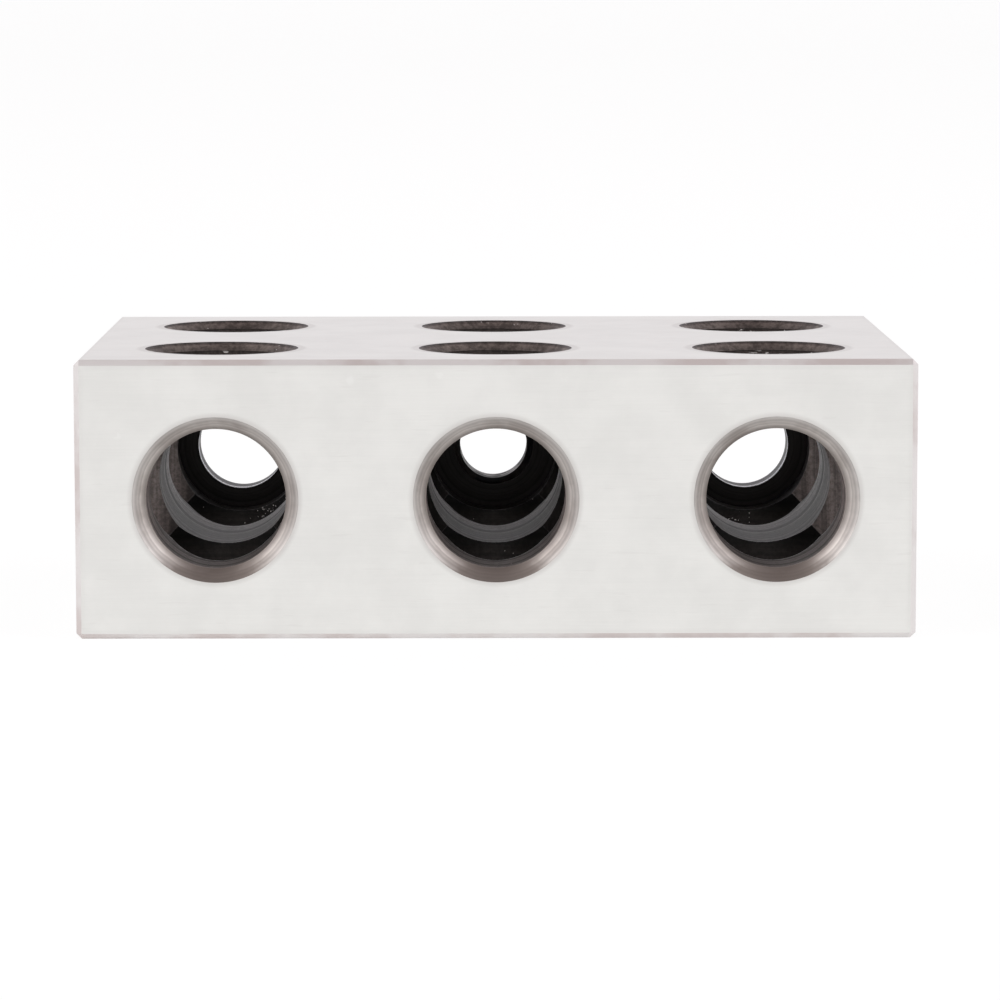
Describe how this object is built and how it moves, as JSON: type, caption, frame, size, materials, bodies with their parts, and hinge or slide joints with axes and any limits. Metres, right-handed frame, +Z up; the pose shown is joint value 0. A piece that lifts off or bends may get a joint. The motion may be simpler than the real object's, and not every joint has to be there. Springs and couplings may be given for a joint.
{
  "type": "machinist setup block",
  "caption": "Ground steel setup block with crossing countersunk bores on all three axes, screw seats and a tapped exit.",
  "frame": {"origin": "middle of the bottom ground face", "axes": "+X along the 3 in length, +Y from the front face to the back face along the 2 in width, +Z up along the 1 in height"},
  "size_m": [0.0762, 0.0508, 0.0254],
  "materials": {
    "ground_steel": "fine surface-ground satin on the faces, drilled and reamed finish in the bores"
  },
  "bodies": {
    "root": {"setup_block": "ground_steel"}
  },
  "joints": []
}
